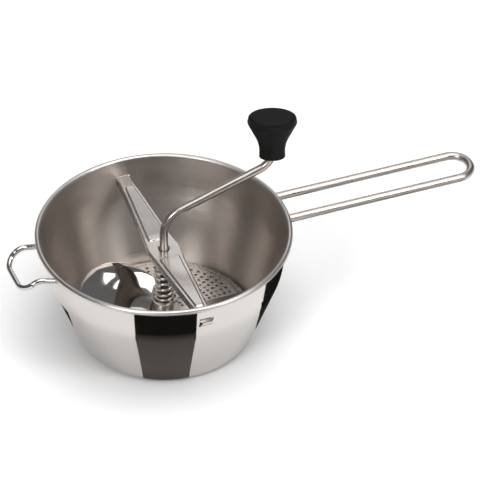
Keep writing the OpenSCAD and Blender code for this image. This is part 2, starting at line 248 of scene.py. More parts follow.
def patch(grid, close_rows=False, close_cols=False, ends=(False, False), slot=0, flow=None, keep=None):
    """A grid of points as (points, faces, slots, flow); ends closes its first and last row with a fan,
    keep says which of the grid's faces stay, and slot is one material number or one for each face."""
    rows, cols = grid.shape[:2]
    points = grid.reshape(-1, 3)
    flow = points if flow is None else np.broadcast_to(flow, grid.shape).reshape(-1, 3)
    faces = grid_faces(rows, cols, close_rows, close_cols)
    slots = np.broadcast_to(slot, len(faces))
    if keep is not None:
        faces, slots = faces[keep], slots[keep]
    groups, marks = [faces], [slots]
    for closed, row in zip(ends, (0, rows - 1)):
        if closed:
            ring = row * cols + np.arange(cols)
            groups.append(fan_faces(ring, len(points)))
            marks.append(np.full(cols, slots[0 if row == 0 else -1]))
            flow = np.concatenate([flow, flow[ring].mean(0)[None]])
            points = np.concatenate([points, points[ring].mean(0)[None]])
    return points, groups, marks, flow


def put(name, patches, materials, nodes, body, crease=35.0):
    """Joins patches into one closed mesh with its place in its points, merges their shared edges, turns
    its faces outwards, and makes it stand for its CAD nodes on their body."""
    points, flows, loops, counts, marks, base = [], [], [], [], [], 0
    for p, groups, slots, flow in patches:
        for faces, numbers in zip(groups, slots):
            loops.append((faces + base).ravel())
            counts.append(np.full(len(faces), faces.shape[1]))
            marks.append(numbers)
        points.append(p)
        flows.append(flow)
        base += len(p)
    points, flows = np.concatenate(points) * MM, np.concatenate(flows) * MM
    loops, counts, marks = np.concatenate(loops), np.concatenate(counts), np.concatenate(marks)
    mesh = bpy.data.meshes.new(name)
    mesh.vertices.add(len(points))
    mesh.vertices.foreach_set("co", points.ravel())
    mesh.loops.add(len(loops))
    mesh.loops.foreach_set("vertex_index", loops.astype(np.int32))
    mesh.polygons.add(len(counts))
    mesh.polygons.foreach_set("loop_start", (np.cumsum(counts) - counts).astype(np.int32))
    mesh.polygons.foreach_set("material_index", np.asarray(marks, np.int32))
    mesh.attributes.new("flow", "FLOAT_VECTOR", "POINT").data.foreach_set("vector", flows.ravel())
    mesh.update(calc_edges=True)
    mesh.validate()
    work = bmesh.new()
    work.from_mesh(mesh)
    bmesh.ops.remove_doubles(work, verts=work.verts, dist=2e-6)
    bmesh.ops.recalc_face_normals(work, faces=work.faces)
    if work.calc_volume(signed=True) < 0:
        bmesh.ops.reverse_faces(work, faces=work.faces)
    open_edges = sum(1 for e in work.edges if not e.is_manifold)
    work.to_mesh(mesh)
    work.free()
    if open_edges:
        print(f"{name}: {open_edges} open edges")
    mesh.polygons.foreach_set("use_smooth", np.ones(len(mesh.polygons), bool))
    mesh.set_sharp_from_angle(angle=math.radians(crease))
    for m in materials:
        mesh.materials.append(m)
    piece = bpy.data.objects.new(name, mesh)
    bpy.context.scene.collection.objects.link(piece)
    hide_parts(*nodes)
    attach(piece, body)
    return piece


def lathe(profile, columns):
    """A closed profile (r, z) turned about the axis in so many columns: point = (r cos u, r sin u, z)."""
    profile = np.asarray(profile, float)
    u = turns(columns)
    return patch(turned(profile, u), True, True, flow=round_flow(u, way_along(profile)))


def tube(path, radius, up, sides=28, slot=0):
    """A circle carried along a path, closed at both ends: with t the path's direction, its axes are
    s = t x up and n = s x t, and point = path + radius (s cos v + n sin v). Its flow is
    (way along, R cos v, R sin v), in which lines run along the rod."""
    path = np.asarray(path, float)
    seg = unit(np.diff(path, axis=0))
    t = unit(np.concatenate([seg[:1], seg[:-1] + seg[1:], seg[-1:]]))
    s = unit(np.cross(t, np.asarray(up, float)))
    n = np.cross(s, t)
    v = turns(sides)[None]
    radius = np.broadcast_to(radius, len(path))[:, None, None]
    ring = radius * (np.cos(v)[..., None] * s[:, None] + np.sin(v)[..., None] * n[:, None])
    way = way_along(path)[:, None]
    flow = np.stack(np.broadcast_arrays(way, ROD_FLOW_RADIUS * np.cos(v), ROD_FLOW_RADIUS * np.sin(v)), -1)
    return patch(path[:, None] + ring, False, True, (True, True), slot, flow)


# ---------------------------------------------------------------- materials


def nodes_of(name):
    """A new material, its node tree and its shader."""
    m = bpy.data.materials.new(name)
    m.use_nodes = True
    tree = m.node_tree
    return m, tree, tree.nodes["Principled BSDF"]


def add(tree, kind, **inputs):
    """A node with its plain inputs set by name."""
    node = tree.nodes.new(kind)
    for key, value in inputs.items():
        node.inputs[key.replace("_", " ")].default_value = value
    return node


def ranged(tree, source, low, high, start=0.3, stop=0.7):
    """source mapped from start..stop to low..high."""
    node = add(tree, "ShaderNodeMapRange", From_Min=start, From_Max=stop, To_Min=low, To_Max=high)
    tree.links.new(source, node.inputs["Value"])
    return node.outputs["Result"]


def noise_on(tree, vector, scale, detail=2.0):
    """Noise over a scaled vector, one scale for each of its axes."""
    mapping = add(tree, "ShaderNodeMapping", Scale=scale)
    tree.links.new(vector, mapping.inputs["Vector"])
    noise = add(tree, "ShaderNodeTexNoise", Scale=1.0, Detail=detail, Roughness=0.6)
    tree.links.new(mapping.outputs["Vector"], noise.inputs["Vector"])
    return noise.outputs["Fac"]


def own_place(tree):
    """The place on the piece, in its Object coordinates."""
    return tree.nodes.new("ShaderNodeTexCoord").outputs["Object"]


def blended(tree, factor, first, second):
    """The colour that goes from first to second as factor goes from 0 to 1."""
    mix = tree.nodes.new("ShaderNodeMix")
    mix.data_type = "RGBA"
    mix.inputs[6].default_value = (*first, 1)
    mix.inputs[7].default_value = (*second, 1)
    tree.links.new(factor, mix.inputs[0])
    return mix.outputs[2]


def joined(tree, operation, first, second):
    """Two values added or multiplied."""
    node = add(tree, "ShaderNodeMath")
    node.operation = operation
    tree.links.new(first, node.inputs[0])
    tree.links.new(second, node.inputs[1])
    return node.outputs[0]


def bumped(tree, shader, height, strength, distance):
    """Fine relief on the shader from a height."""
    bump = add(tree, "ShaderNodeBump", Strength=strength, Distance=distance)
    tree.links.new(height, bump.inputs["Height"])
    tree.links.new(bump.outputs["Normal"], shader.inputs["Normal"])


def distance_out(tree):
    """The distance from the middle of the floor, in metres."""
    away = tree.nodes.new("ShaderNodeVectorMath")
    away.operation = "LENGTH"
    tree.links.new(own_place(tree), away.inputs[0])
    return away.outputs["Value"]


def steel(name, rgb, rough, lines, line_depth, spread, tint, sweep=0.0, coords="flow"):
    """Steel: fine drawn or brushed lines that follow the piece's flow change its gloss and relief, and
    broad soft smudges change its colour and gloss a little."""
    m, tree, shader = nodes_of(name)
    if coords == "flow":
        attribute = tree.nodes.new("ShaderNodeAttribute")
        attribute.attribute_name = "flow"
        vector = attribute.outputs["Vector"]
    else:
        vector = own_place(tree)
    line = noise_on(tree, vector, lines)
    smudge = noise_on(tree, own_place(tree), (28, 28, 28), 3.0)
    shader.inputs["Metallic"].default_value = 1.0
    dark = [c * (1 - tint) for c in rgb]
    light = [min(1.0, c * (1 + tint * 0.5)) for c in rgb]
    both = joined(tree, "ADD", ranged(tree, line, 0.0, 0.5), ranged(tree, smudge, 0.0, 0.5))
    tree.links.new(blended(tree, both, dark, light), shader.inputs["Base Color"])
    lined = ranged(tree, line, rough * (1 - spread), rough * (1 + spread))
    gloss = joined(tree, "MULTIPLY", lined, ranged(tree, smudge, 0.85, 1.2))
    tree.links.new(gloss, shader.inputs["Roughness"])
    if line_depth:
        bumped(tree, shader, line, line_depth, 0.0004)
    if sweep:
        tangent = tree.nodes.new("ShaderNodeTangent")
        tangent.direction_type, tangent.axis = "RADIAL", "Z"
        tree.links.new(tangent.outputs["Tangent"], shader.inputs["Tangent"])
        shader.inputs["Anisotropic"].default_value = sweep
        shader.inputs["Anisotropic Rotation"].default_value = 0.25
    return m


def plastic(name, rgb):
    """Moulded black plastic: a fine even grain in its relief, and gloss that varies softly."""
    m, tree, shader = nodes_of(name)
    grain = noise_on(tree, own_place(tree), (2600, 2600, 2600))
    patchy = noise_on(tree, own_place(tree), (60, 60, 60))
    worn = [min(1, c * 1.8) for c in rgb]
    tree.links.new(blended(tree, ranged(tree, patchy, 0.0, 1.0), rgb, worn), shader.inputs["Base Color"])
    tree.links.new(ranged(tree, patchy, 0.48, 0.6), shader.inputs["Roughness"])
    shader.inputs["Specular IOR Level"].default_value = 0.17
    bumped(tree, shader, grain, 0.12, 0.0002)
    return m


FINISHES = {}


def finish(name):
    """The named finish, made when it is first asked for. A steel's numbers are its roughness, the scale of
    its lines on each axis of its flow, their depth, the spread of its gloss, its tint and its sweep."""
    if name not in FINISHES:
        c = colours()
        steels = {
            "polished": ("polished_steel", c.mirror, c.polish, (60, 60, 900), 0.0, 0.3, 0.03),
            "brushed": ("brushed_steel", c.satin, c.brushed, (9, 9, 3400), 0.014, 0.18, 0.08, 0.8),
            "rolled": ("rolled_rim_steel", c.mirror, 0.36, (30, 30, 1800), 0.01, 0.3, 0.08),
            "drawn": ("drawn_rod_steel", c.satin, 0.29, (45, 1500, 1500), 0.02, 0.3, 0.10),
            # Painted shade: the shaft's dark colour stands for the shade inside the spring.
            "shaft": ("dull_shaft_steel", c.shaft, 0.42, (45, 1500, 1500), 0.02, 0.2, 0.10),
            "bright": ("bright_wire_steel", c.mirror, 0.09, (45, 1200, 1200), 0.01, 0.3, 0.05),
            "pressed": ("pressed_bar_steel", c.pressed, 0.24, (5200, 90, 5200), 0.002, 0.12, 0.04),
            "sprung": ("spring_wire_steel", c.mirror, 0.30, (60, 1400, 1400), 0.01, 0.3, 0.08),
            "sieve": ("sieve_sheet_steel", c.pressed, 0.30, (900, 900, 900), 0.005, 0.25, 0.10),
            "turned": ("turned_steel", c.satin, 0.32, (9, 9, 2200), 0.02, 0.25, 0.08),
            "cad": ("trim_steel", c.pressed, 0.25, (700, 700, 2200), 0.02, 0.25, 0.08, 0.0, "object"),
        }
        if name == "plastic":
            FINISHES[name] = plastic("moulded_black_plastic", c.plastic)
        else:
            FINISHES[name] = steel(*steels[name])
    return FINISHES[name]


# ---------------------------------------------------------------- bowl

# Angles of the steep wall and the cone from upright, the radius of the bend between them, and the angle
# in degrees to which the rim curls.
UPPER_LEAN, LOWER_LEAN = math.radians(7.9), math.radians(20.4)
BREAK_BEND, CURL_END = 55.0, -110.0
# The wall slots and their hoods. HOOD_STEEP and HOOD_SIDE shape the hood's push, upwards and sideways, and
# SLOT_RADIUS is the wall's radius there, which turns widths into angles.
SLOT_TOP, SLOT_HEIGHT, HOOD_HEIGHT = 79.9, 2.6, 6.2
HOOD_STEEP, HOOD_SIDE, SLOT_RADIUS = 1.15, 1.2, 95
# The lowest row of the steep wall, rows over a hood and over a slot, and columns between the slots.
WALL_START, HOOD_ROWS, SLOT_ROWS, SPAN_COLS = 68.5, 12, 4, 118


def bowl_sizes():
    """The bowl's derived radii in millimetres: middle of the bead, wall at the rim, break and foot."""
    s = sizes()
    bead, sheet = s.bead / MM, s.sheet / MM
    rim_z = BOWL_BOX[1, 2] - bead
    bead_c = BOWL_BOX[1, 0] - bead
    top_in = bead_c - bead
    break_z = s.break_height / MM
    break_in = top_in - (rim_z - break_z) * math.tan(UPPER_LEAN)
    foot_in = break_in - (break_z - sheet) * math.tan(LOWER_LEAN)
    run = s.foot_radius / MM * math.tan((math.pi / 2 - LOWER_LEAN) / 2)
    outlet = foot_in - run - s.foot_flat / MM
    return bead, sheet, rim_z, bead_c, top_in, break_z, break_in, foot_in, outlet


def wall_out(z):
    """Outer radius of the bowl's wall at height z."""
    _, sheet, rim_z, _, top_in, break_z, break_in, _, _ = bowl_sizes()
    upper = top_in - (rim_z - z) * math.tan(UPPER_LEAN) + sheet / math.cos(UPPER_LEAN)
    lower = break_in - (break_z - z) * math.tan(LOWER_LEAN) + sheet / math.cos(LOWER_LEAN)
    return np.where(z > break_z, upper, lower)


def bowl_shape():
    """The bowl: the profile of its sheet (foot ring, rounded foot, cone, soft break, steep wall and
    rolled bead, and back along the outside) turned about the axis. Under each slot the sheet is pushed
    outwards by hood * smooth(height) * smooth(distance to the slot's side), and the faces of the slot
    are left out and its edges joined."""
    s = sizes()
    bead, sheet, rim_z, bead_c, top_in, break_z, break_in, foot_in, outlet = bowl_sizes()
    line = rounded(
        [[outlet, sheet], [foot_in, sheet], [break_in, break_z], [top_in, rim_z - 0.5]],
        [s.foot_radius / MM, BREAK_BEND],
        14,
    )
    low, high = line[:-1], line[-1:]
    z_slot = SLOT_TOP - SLOT_HEIGHT
    rows = np.concatenate([
        np.linspace(WALL_START, z_slot - HOOD_HEIGHT, 3),
        np.linspace(z_slot - HOOD_HEIGHT, z_slot, HOOD_ROWS + 1)[1:],
        np.linspace(z_slot, SLOT_TOP, SLOT_ROWS + 1)[1:],
        np.linspace(SLOT_TOP, rim_z - 1.5, 5)[1:]])
    wall = np.stack([top_in - (rim_z - rows) * math.tan(UPPER_LEAN), rows], -1)
    curl = arc([bead_c, rim_z], bead, 180, CURL_END, 34)
    inner = np.concatenate([low, wall, high, curl])
    outer = offset(inner, sheet)
    first, n = len(low), len(inner)
    below = first + 2 + HOOD_ROWS
    above = below + SLOT_ROWS
    beads = first + len(wall) + 1

    side = s.slot_width / MM / 2
    near = np.array([0, 0.9, 1.8, 2.8, 3.6, 4.2, 4.7, 5.2, side, 6.4, 7.6]) / SLOT_RADIUS
    near = np.unique(np.concatenate([-near, near]))
    half = near[-1] + 0.004
    span = np.linspace(half, math.pi - half, SPAN_COLS)
    u = np.concatenate([near, span, near + math.pi, span + math.pi]) - math.pi / 2
    cols = len(u)
    across = SLOT_RADIUS * np.abs(np.concatenate([near, span * 0 + 1, near, span * 0 + 1]))[:, None]
    z = np.concatenate([inner[:, 1], outer[::-1, 1]])[None]
    r = np.concatenate([inner[:, 0], outer[::-1, 0]])[None]
    height = (np.concatenate([inner[:, 1], inner[::-1, 1]])[None] - (z_slot - HOOD_HEIGHT)) / HOOD_HEIGHT
    lift = np.where(height <= 1.001, smooth(height * HOOD_STEEP), 0.0)
    push = s.hood / MM * lift * smooth((side - across) / HOOD_SIDE)
    way = way_along(inner)
    flow = round_flow(u, np.concatenate([way, way[::-1]]))
    u = u[:, None]
    grid = np.stack([(r + push) * np.cos(u), (r + push) * np.sin(u), z + 0 * u], -1)

    i = np.repeat(np.arange(cols), 2 * n)
    j = np.tile(np.arange(2 * n), cols)
    mid = across[:, 0] <= side + 1e-6
    in_slot = mid[i] & mid[(i + 1) % cols]
    rows_in = ((j >= below) & (j < above)) | ((j >= 2 * n - 1 - above) & (j < 2 * n - 1 - below))
    slot = np.where(j < beads, 1, np.where(j >= 2 * n - 1 - beads, 0, 2))
    wall_patch = patch(grid, True, True, slot=slot, flow=flow, keep=~(in_slot & rows_in))

    reveals = []
    for centre in (len(near) // 2, len(near) // 2 + len(near) + SPAN_COLS):
        k = np.flatnonzero(mid)
        k = k[np.abs(k - centre) < len(near)]
        loop = loop_round(k, range(below, above + 1))
        inside = grid[loop[:, 0], loop[:, 1]]
        outside = grid[loop[:, 0], 2 * n - 1 - loop[:, 1]]
        reveals.append(patch(np.stack([inside, outside]), False, True))
    return [wall_patch, *reveals]


class MILL_OT_bowl(bpy.types.Operator):
    """Make the bowl with its rolled rim, slots and foot"""

    bl_idname = "mill.bowl"
    bl_label = "Bowl"

    def execute(self, context):
        put("bowl_shell", bowl_shape(), [finish("polished"), finish("brushed"), finish("rolled")],
            ["bowl"], "bowl_assembly", 40)
        return {"FINISHED"}


# ---------------------------------------------------------------- handles


# Where the handles' paths start, how deep their welds go into the wall, how far the loop ends inside its
# box, and how far its crest stands from its end.
HANDLE_START, LOOP_START, WELD_DEPTH = 96, 95.0, 0.45
LOOP_SHORT, LOOP_CREST = 3.0, 10.25


def weld(rod, sides):
    """Moves a rod's two end rings, and the points that close them, along X into the bowl's wall:
    x = sign(x) sqrt((r(z) - depth)^2 - y^2)."""
    points = rod[0]
    ends = np.r_[0:sides, len(points) - 2 - sides:len(points)]
    x, y, z = points[ends].T
    points[ends, 0] = np.sign(x) * np.sqrt((wall_out(z) - WELD_DEPTH) ** 2 - y**2)


class MILL_OT_long_handle(bpy.types.Operator):
    """Make the long handle, one rod bent back on itself"""

    bl_idname = "mill.long_handle"
    bl_label = "Long handle"

    def execute(self, context):
        d, bend = sizes().handle_rod / MM, sizes().handle_bend / MM
        z = (HANDLE_BOX[0, 2] + HANDLE_BOX[1, 2]) / 2
        far, y = HANDLE_BOX[1, 0] - d / 2, HANDLE_BOX[1, 1] - d / 2
        corners = [[HANDLE_START, -y, z], [far, -y, z], [far, y, z], [HANDLE_START, y, z]]
        sides = 32
        rod = tube(rounded(corners, [bend, bend], 20), d / 2, (0, 0, 1), sides)
        weld(rod, sides)
        put("long_handle_rod", [rod], [finish("drawn")], ["long_handle"], "bowl_assembly")
        return {"FINISHED"}


class MILL_OT_helper_handle(bpy.types.Operator):
    """Make the wire helper loop, which rises from the wall and dips to its grip"""

    bl_idname = "mill.helper_handle"
    bl_label = "Helper loop"

    def execute(self, context):
        d = sizes().loop_wire / MM
        far = -LOOP_BOX[0, 0] - d / 2 - LOOP_SHORT
        side = np.array([
            [-LOOP_START, 23.0, 88.6], [d / 2 + LOOP_CREST - far, 21.5, 93.4], [-far, 20.0, 83.6]])
        path = np.concatenate([side * [1, -1, 1], side[::-1]])
        sides = 28
        rod = tube(rounded(path, [11, 12, 12, 11], 18), d / 2, (0, 0, 1), sides)
        weld(rod, sides)
        put("helper_loop_wire", [rod], [finish("bright")], ["helper_handle"], "bowl_assembly")
        return {"FINISHED"}


# ---------------------------------------------------------------- crossbar

# The bar's flat middle, half widths at its middle and its neck, the rise to its ends, the drop of its
# turned-down edges, and its dip towards the slots, which starts at DIP_START.
BAR_FLAT, BAR_MID, BAR_END, BAR_RISE, BAR_SKIRT = 17.0, 13.2, 5.6, 4.0, 4.6
BAR_DIP, DIP_START = 1.5, 74.0
# Its middle's depth below the rim, and its tongues' half width, run and gap to the end of its box.
BAR_DEPTH, TONGUE, TONGUE_RUN, TONGUE_SHORT = 15.0, 5.62, 6.0, 0.7
# Where the panels start, the width of their bevel and the radius of their corners.
PANEL_START, PANEL_BEVEL, PANEL_CORNER = 11.0, 1.25, 2.2


def bar_sizes():
    """The crossbar's middle height, reach and neck in millimetres."""
    mid = BOWL_BOX[1, 2] - sizes().bead / MM - BAR_DEPTH
    reach = BAR_BOX[1, 1] - TONGUE_SHORT
    neck = wall_out(np.array(mid + BAR_RISE)) - sizes().sheet / MM / math.cos(UPPER_LEAN) - TONGUE_RUN
    return mid, reach, float(neck)


def bar_top(y):
    """Height of the bar's top: flat in the middle, then rising in a straight line, softly joined, and
    dipping by dip * t^1.5 towards the slots."""
    mid, reach, _ = bar_sizes()
    rise = BAR_RISE / (reach - BAR_FLAT)
    run = np.abs(y) - BAR_FLAT
    climb = rise * np.where(run < -2, 0, np.where(run > 2, run, (run + 2) ** 2 / 8))
    return mid + climb - BAR_DIP * np.clip((np.abs(y) - DIP_START) / (reach - DIP_START), 0, 1) ** 1.5


def bar_shape():
    """The crossbar: across the bar, columns run from the middle to the panel's edge, over the bevel of
    the panel and round the turned-down edge; height = top(y) + panel * smooth(distance into the panel).
    The underside is the same surface lowered by the sheet, with its turned-down edges moved in by it. A
    collar of rings joins both round the shaft."""
    s = sizes()
    mid, reach, neck = bar_sizes()
    t, edge, panel = s.bar_sheet / MM, s.bar_edge / MM, s.panel / MM
    outline = rounded(
        [[TONGUE, -reach], [TONGUE, -neck - 1.2], [BAR_END, -neck], [BAR_MID - 2, -BAR_FLAT - 1],
         [BAR_MID, 0],
         [BAR_MID - 2, BAR_FLAT + 1], [BAR_END, neck], [TONGUE, neck + 1.2], [TONGUE, reach]],
        [0, 1, 12, 10, 12, 1, 0], 8)
    start, stop = PANEL_START, neck - 8
    y = np.concatenate([
        np.linspace(0, 7.5, 7), np.linspace(7.5, start - 0.4, 6)[1:],
        np.linspace(start - 0.4, start + 2.6, 16)[1:],
        np.linspace(start + 2.6, stop - 2.6, 50)[1:], np.linspace(stop - 2.6, stop + 0.4, 14)[1:],
        np.linspace(stop + 0.6, neck + 1.4, 7)[1:], np.linspace(neck + 1.4, reach, 4)[1:]])
    y = np.concatenate([-y[:0:-1], y])
    half = np.interp(y, outline[:, 1], outline[:, 0])
    wp0, wp1 = BAR_MID - 4.6, BAR_END - 1.9

    def panel_half(y):
        """Half width of the panels at y."""
        return np.interp(np.abs(y), [0, start, stop, reach], [wp0, wp0, wp1, wp1 * 0.9])

    wp = panel_half(y)
    skirt_stop = neck - 6.0
    skirt = BAR_SKIRT * smooth((skirt_stop + 2.5 - np.abs(y)) / 5.0)
    skirt = np.maximum(skirt, t)
    curve = np.radians(np.linspace(90, 0, 7))

    inner = np.array([0, 0.35, 0.7, 0.9, 1.0])
    bev = np.linspace(0, 1, 8)[1:]
    flat = np.linspace(0, 1, 5)[1:]
    base = half - edge
    inside = np.maximum(wp - PANEL_BEVEL, 0.5)
    x_top = np.concatenate([
        inner[:, None] * inside, inside + bev[:, None] * (wp - inside), wp + flat[:, None] * (base - wp),
        base + edge * np.cos(curve)[1:, None], half[None]]).T
    drop = np.concatenate([
        np.zeros((len(inner) + len(bev) + len(flat), len(y))), edge * (1 - np.sin(curve))[1:, None] + 0 * y,
        np.maximum(skirt, edge)[None]]).T
    top = bar_top(y)[:, None]

    def relief(x, yy):
        """Panel height: the smooth step of the least distance to the panel's four edges."""
        run = np.hypot(1, (wp0 - wp1) / (stop - start))
        sidewards = (panel_half(yy) - np.abs(x)) / run
        inwards = np.minimum(np.abs(yy) - start, stop - np.abs(yy))
        a = PANEL_CORNER - np.minimum(sidewards, PANEL_CORNER)
        b = PANEL_CORNER - np.minimum(inwards, PANEL_CORNER)
        return panel * smooth((PANEL_CORNER - np.hypot(a, b)) / PANEL_BEVEL)

    yy = np.broadcast_to(y[:, None], x_top.shape)
    z_top = top - drop + relief(x_top, yy)
    x_in = np.where(drop > 0.01, np.maximum(x_top - t, 0), np.minimum(x_top, (half - t)[:, None]))
    x_in = np.where(np.arange(x_top.shape[1])[None] == x_top.shape[1] - 1, (half - t)[:, None], x_in)
    k0 = len(inner) + len(bev) + len(flat)
    x_in[:, k0:k0 + 6] = base[:, None] + (edge - t) * np.cos(curve)[None, 1:]
    z_in = z_top - t
    z_in[:, k0:k0 + 6] = top - t - (edge - t) * (1 - np.sin(curve))[None, 1:]
    z_in[:, -1] = np.minimum(z_top[:, -1], top[:, 0] - t - (edge - t))

    def both(x, z):
        """The half from the middle outwards, with its mirror image before it."""
        return np.concatenate([-x[:, :0:-1], x], 1), np.concatenate([z[:, :0:-1], z], 1)

    xt, zt = both(x_top, z_top)
    xb, zb = both(x_in, z_in)
    n = xt.shape[1]
    x = np.concatenate([xt, xb[:, ::-1]], 1)
    z = np.concatenate([zt, zb[:, ::-1]], 1)
    grid = np.stack(np.broadcast_arrays(x, y[:, None], z), -1)
    rows, cols = grid.shape[:2]
    i = np.repeat(np.arange(rows - 1), cols)
    j = np.tile(np.arange(cols), rows - 1)
    c = (n - 1) // 2
    h = 4
    r0, r1 = rows // 2 - 6, rows // 2 + 6
    window = (i >= r0) & (i < r1) & (((j >= c - h) & (j < c + h)) | ((j >= n + c - h) & (j < n + c + h)))
    body = patch(grid, False, True, keep=~window)
    caps = [patch(np.stack([grid[row, :n], grid[row, :n - 1:-1]])) for row in (0, rows - 1)]

    loop = loop_round(range(c - h, c + h + 1), range(r0, r1 + 1))[:, ::-1]
    over = grid[loop[:, 0], loop[:, 1]]
    under = grid[loop[:, 0], 2 * n - 1 - loop[:, 1]]
    a = np.arctan2(over[:, 1], over[:, 0])
    round_the_shaft = np.stack([np.cos(a), np.sin(a)], -1)
    bore = s.crank_rod / MM / 2 + 0.08

    def ring(r, height):
        """One ring of the collar."""
        return np.concatenate([r * round_the_shaft, np.full((len(a), 1), height)], 1)

    blend = [over * (1 - k) + ring(4.9, mid) * k for k in (0.35, 0.7, 1.0)]
    for b in blend:
        b[:, 2] = mid
    under_blend = [under * (1 - k) + ring(4.35, mid - t) * k for k in (1.0, 0.7, 0.35)]
    rings = [
        over, *blend, ring(4.5, mid - 0.12), ring(bore, mid - 1.25), ring(bore, mid - 4.5),
        ring(4.2, mid - 4.5), ring(4.35, mid - 4.3), *under_blend, under]
    collar = patch(np.stack(rings), False, True)
    return [body, *caps, collar]


class MILL_OT_crossbar(bpy.types.Operator):
    """Make the crossbar with its turned-down edges and pressed panels"""

    bl_idname = "mill.crossbar"
    bl_label = "Crossbar"

    def execute(self, context):
        put("crossbar_sheet", bar_shape(), [finish("pressed")],
            ["crossbar"], "bowl_assembly", 50)
        return {"FINISHED"}


# ---------------------------------------------------------------- spring and its washers


SPRING_TURNS = 9


def spring_shape():
    """The spring: a circle carried along a helix (m cos a, m sin a, height(a)) with a closed turn at
    each end, where the height climbs by little more than the wire in a turn."""
    wire = sizes().spring_wire / MM
    low, high = SPRING_BOX[0, 2], SPRING_BOX[1, 2]
    mean = SPRING_BOX[1, 0] - wire / 2
    n = SPRING_TURNS
    k = np.linspace(0, n, n * 40 + 1)
    closed = wire * 1.06
    opened = (high - low - wire - 2 * closed) / (n - 2)
    climb = [0, closed, closed + opened * (n - 2), high - low - wire]
    z = low + wire / 2 + np.interp(k, [0, 1, n - 1, n], climb)
    a = 2 * math.pi * k
    path = np.stack([mean * np.cos(a), mean * np.sin(a), z], -1)
    return tube(path, wire / 2, (0, 0, 1), 16)


def ring_profile(r0, r1, z0, z1, soft):
    """A flat ring's section with softened corners."""
    p = [[(r0 + r1) / 2, z0], [r1, z0], [r1, z1], [r0, z1], [r0, z0], [(r0 + r1) / 2, z0]]
    return rounded(p, [soft] * 4, 3)[:-1]


class MILL_OT_spring(bpy.types.Operator):
    """Make the pressure spring, its top washer and the cup that it stands in"""

    bl_idname = "mill.spring"
    bl_label = "Spring and washers"

    def execute(self, context):
        spring = put("spring_coil", [spring_shape()], [finish("sprung")],
                     ["pressure_spring"], "bowl_assembly")
        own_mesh(spring)
        w = WASHER_BOX
        washer = lathe(ring_profile(4.37, w[1, 0], w[0, 2], w[1, 2], 0.3), 64)
        put("top_washer", [washer], [finish("turned")],
            ["spring_top_washer"], "bowl_assembly")
        q, bore = SEAT_BOX, sizes().crank_rod / MM / 2 + 0.07
        inside = rounded([[bore, q[0, 2] + 1], [q[1, 0] - 1, q[0, 2] + 1], [q[1, 0] - 1, q[1, 2]]], [0.9], 5)
        outside = rounded([[q[1, 0], q[1, 2]], [q[1, 0], q[0, 2]], [bore, q[0, 2]]], [1.7], 6)
        cup = lathe(np.concatenate([inside, outside]), 64)
        put("spring_cup", [cup], [finish("turned")], ["spring_seat"], "spring_follower")
        return {"FINISHED"}


# ---------------------------------------------------------------- crank, blade and sieve


# Heights of the crank's two bends and their radii.
ARM_LOW, ARM_HIGH, ARM_BENDS = 106.2, 136.4, (20.0, 15.0)


class MILL_OT_crank(bpy.types.Operator):
    """Make the crank's bent rod"""

    bl_idname = "mill.crank"
    bl_label = "Crank"

    def execute(self, context):
        r = sizes().crank_rod / MM / 2
        low, top, throw = CRANK_BOX[0, 2], CRANK_BOX[1, 2], CRANK_BOX[1, 0] - r
        # Painted shade: below this height, inside the spring, the rod takes the dark shaft colour, which
        # stands for the shade there.
        painted_shade_top = bar_sizes()[0] - LIFT - 0.6
        path = rounded(
            [[0, 0, low], [0, 0, low + 0.5], [0, 0, painted_shade_top], [0, 0, ARM_LOW],
             [throw, 0, ARM_HIGH], [throw, 0, top]],
            [0, 0, *ARM_BENDS], 26)
        radius = np.full(len(path), r)
        radius[0] = r - 0.4
        sides = 36
        painted_shade_in_spring = np.repeat(path[1:, 2] <= painted_shade_top + 0.01, sides).astype(int)
        put("crank_bent_rod", [tube(path, radius, (0, 1, 0), sides, slot=painted_shade_in_spring)],
            [finish("drawn"), finish("shaft")], ["crank_rod"], "crank")
        return {"FINISHED"}


# The blade's low and raised edges in degrees, its radii at the hub and at the rim, the lift of its inner
# edge, and the bow and the curl of its raised edge, which start CURL_RUN degrees from it.
BLADE_START, BLADE_STOP, BLADE_IN, BLADE_OUT, HUB_RADIUS = 105.0, 360.0, 8.1, 66.9, 8.0
INNER_LIFT, BLADE_BOW, BLADE_CURL, CURL_RUN = 9.0, 7.0, 2.6, 26
# How far its outline draws in at the raised edge, and over how many degrees.
DRAW_IN, DRAW_RUN = 22, 48


